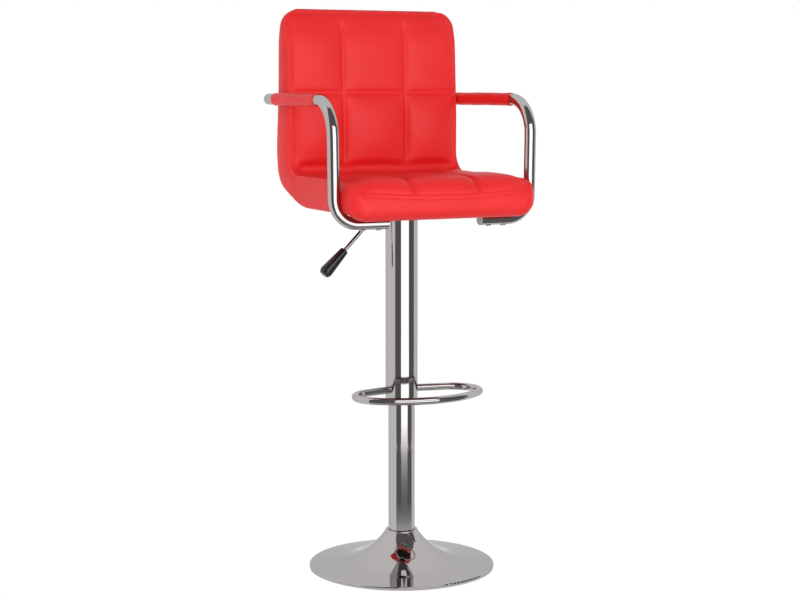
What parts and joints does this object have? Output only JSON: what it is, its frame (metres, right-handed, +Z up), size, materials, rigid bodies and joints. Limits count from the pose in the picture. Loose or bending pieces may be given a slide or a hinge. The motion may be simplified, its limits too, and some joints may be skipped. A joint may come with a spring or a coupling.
{
  "type": "adjustable swivel stool",
  "caption": "Height-adjustable swivel bar stool with a padded bucket seat, tube arms, a footrest loop and a round trumpet base.",
  "frame": {"origin": "floor level on the axis of the column", "axes": "+Z up along the column; the sitter faces -Y; +X is to the right of someone who faces the stool's front"},
  "size_m": [0.4639, 0.4437, 1.154],
  "materials": {
    "chrome": "polished",
    "zinc_steel": "satin",
    "cast_iron": "matte",
    "black_steel": "satin",
    "rubber": "matte",
    "white_plastic": "satin",
    "black_plastic": "satin",
    "grey_plastic": "satin",
    "gloss_black": "gloss",
    "red_padding": "satin",
    "red_leather": "satin",
    "plywood": "matte",
    "dust_fabric": "matte"
  },
  "bodies": {
    "base": {"base_dish": "chrome", "floor_ring": "rubber", "weight_plate": "cast_iron", "column_flange": "zinc_steel", "base_bolts": "zinc_steel", "base_collar": "chrome", "column_tube": "chrome", "column_end_plate": "zinc_steel", "guide_bush": "white_plastic", "lower_race": "zinc_steel"},
    "lift_rod": {"bearing_balls": "zinc_steel", "ball_cage": "white_plastic", "upper_race": "zinc_steel", "piston_rod": "zinc_steel", "rod_clip": "zinc_steel", "rubber_buffer": "rubber", "piston_head": "zinc_steel"},
    "seat": {"pressure_tube": "black_steel", "rod_seal": "rubber", "sleeve_tube": "chrome", "sleeve_glide": "white_plastic", "sleeve_cap": "black_plastic", "footrest": "chrome", "seat_plate": "black_steel", "hub_socket": "zinc_steel", "plate_bolts": "zinc_steel", "lever_bracket": "zinc_steel", "lever_pivot_pin": "zinc_steel", "seat_board": "plywood", "seat_cushion": "red_padding", "rear_cover": "red_padding", "dust_cover": "dust_fabric", "arm_frame": "chrome", "arm_pad_left": "red_leather", "arm_pad_right": "red_leather", "tube_plugs": "grey_plastic", "arm_front_spacers": "black_plastic", "arm_rear_spacers": "chrome", "arm_front_bolts": "zinc_steel", "arm_rear_bolts": "zinc_steel", "tee_nuts": "zinc_steel"},
    "lever": {"lever_rod": "chrome", "lever_handle": "gloss_black"},
    "release_pin": {"release_pin": "zinc_steel"}
  },
  "joints": [
    {"name": "swivel", "type": "hinge", "parent": "base", "child": "lift_rod", "pos_m": [0, 0, 0.0436], "axis": [0, 0, 1], "continuous": true},
    {"name": "height", "type": "slide", "parent": "lift_rod", "child": "seat", "axis": [0, 0, 1], "range_m": [-0.21, 0]},
    {"name": "lever_lift", "type": "hinge", "parent": "seat", "child": "lever", "pos_m": [-0.026, 0, 0.742], "axis": [0, 1, 0], "range_deg": [0, 8], "stiffness_Nm_per_rad": 1, "springref_deg": -8.59},
    {"name": "pin_push", "type": "slide", "parent": "seat", "child": "release_pin", "axis": [0, 0, 1], "range_m": [-0.004, 0]}
  ],
  "couplings": [
    {"joint": "pin_push", "follows": "lever_lift", "m_per_rad": -0.0276}
  ]
}
